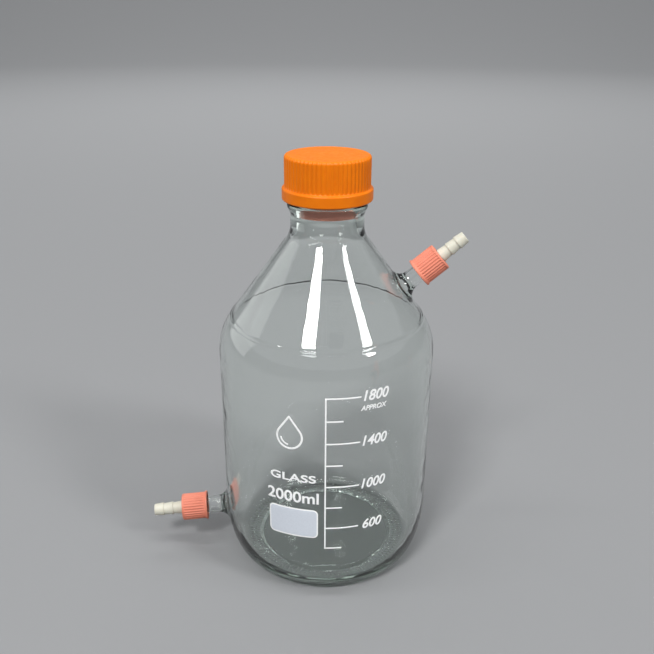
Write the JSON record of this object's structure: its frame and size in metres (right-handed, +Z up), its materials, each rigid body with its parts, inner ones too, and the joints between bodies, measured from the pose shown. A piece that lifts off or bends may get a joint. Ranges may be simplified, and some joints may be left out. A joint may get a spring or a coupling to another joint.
{
  "type": "reagent bottle",
  "caption": "Two litre clear glass reagent bottle with a screw cap, a threaded side port on the shoulder and one near the base, each with a ported screw cap and hose barb.",
  "frame": {"origin": "centre of the ring that the bottle stands on", "axes": "+Z up along the bottle's centre line; -Y the side with the printed scale; +X towards the upper port, -X towards the lower one"},
  "size_m": [0.2042, 0.1361, 0.2675],
  "materials": {
    "clear_glass": "clear blown borosilicate glass with a faint green cast",
    "ring_plastic": "moulded, satin",
    "enamel": "fired enamel, slightly glossy",
    "panel_enamel": "fired enamel, matt so that pencil takes",
    "silicone": "matt silicone rubber",
    "ptfe": "smooth, waxy",
    "orange_plastic": "moulded, satin",
    "salmon_plastic": "moulded, satin",
    "barb_plastic": "moulded polypropylene, satin"
  },
  "bodies": {
    "bottle": {"glass_base": "clear_glass", "glass_wall": "clear_glass", "glass_shoulder": "clear_glass", "glass_neck": "clear_glass", "upper_port_tube": "clear_glass", "lower_port_tube": "clear_glass", "pouring_ring": "ring_plastic", "graduation_scale": "enamel", "graduation_numbers": "enamel", "capacity_marking": "enamel", "droplet_mark": "enamel", "writing_panel": "panel_enamel"},
    "main_seal": {"cap_liner": "silicone", "cap_liner_face": "ptfe"},
    "main_cap": {"screw_cap": "orange_plastic"},
    "upper_connector": {"upper_hose_barb": "barb_plastic", "upper_seal_ring": "silicone", "upper_seal_face": "ptfe"},
    "upper_cap": {"upper_port_cap": "salmon_plastic"},
    "lower_connector": {"lower_hose_barb": "barb_plastic", "lower_seal_ring": "silicone", "lower_seal_face": "ptfe"},
    "lower_cap": {"lower_port_cap": "salmon_plastic"}
  },
  "joints": [
    {"name": "main_cap_lift", "type": "slide", "parent": "bottle", "child": "main_seal", "axis": [0, 0, 1], "range_m": [0, 0.04]},
    {"name": "main_cap_turn", "type": "hinge", "parent": "main_seal", "child": "main_cap", "pos_m": [0, 0, 0.254], "axis": [0, 0, 1], "range_deg": [0, 3600]},
    {"name": "upper_connector_draw", "type": "slide", "parent": "bottle", "child": "upper_connector", "axis": [0.7644, 0.0494, 0.6428], "range_m": [0, 0.02]},
    {"name": "upper_cap_turn", "type": "hinge", "parent": "upper_connector", "child": "upper_cap", "pos_m": [0.06307, 0.00408, 0.19873], "axis": [0.7644, 0.0494, 0.6428], "range_deg": [0, 2880]},
    {"name": "lower_connector_draw", "type": "slide", "parent": "bottle", "child": "lower_connector", "axis": [-0.993, -0.1079, -0.0488], "range_m": [0, 0.02]},
    {"name": "lower_cap_turn", "type": "hinge", "parent": "lower_connector", "child": "lower_cap", "pos_m": [-0.08887, -0.00965, 0.02773], "axis": [-0.993, -0.1079, -0.0488], "range_deg": [0, 2880]}
  ],
  "couplings": [
    {"joint": "main_cap_turn", "follows": "main_cap_lift", "rad_per_m": 1570.8},
    {"joint": "upper_cap_turn", "follows": "upper_connector_draw", "rad_per_m": 2513.3},
    {"joint": "lower_cap_turn", "follows": "lower_connector_draw", "rad_per_m": 2513.3}
  ]
}
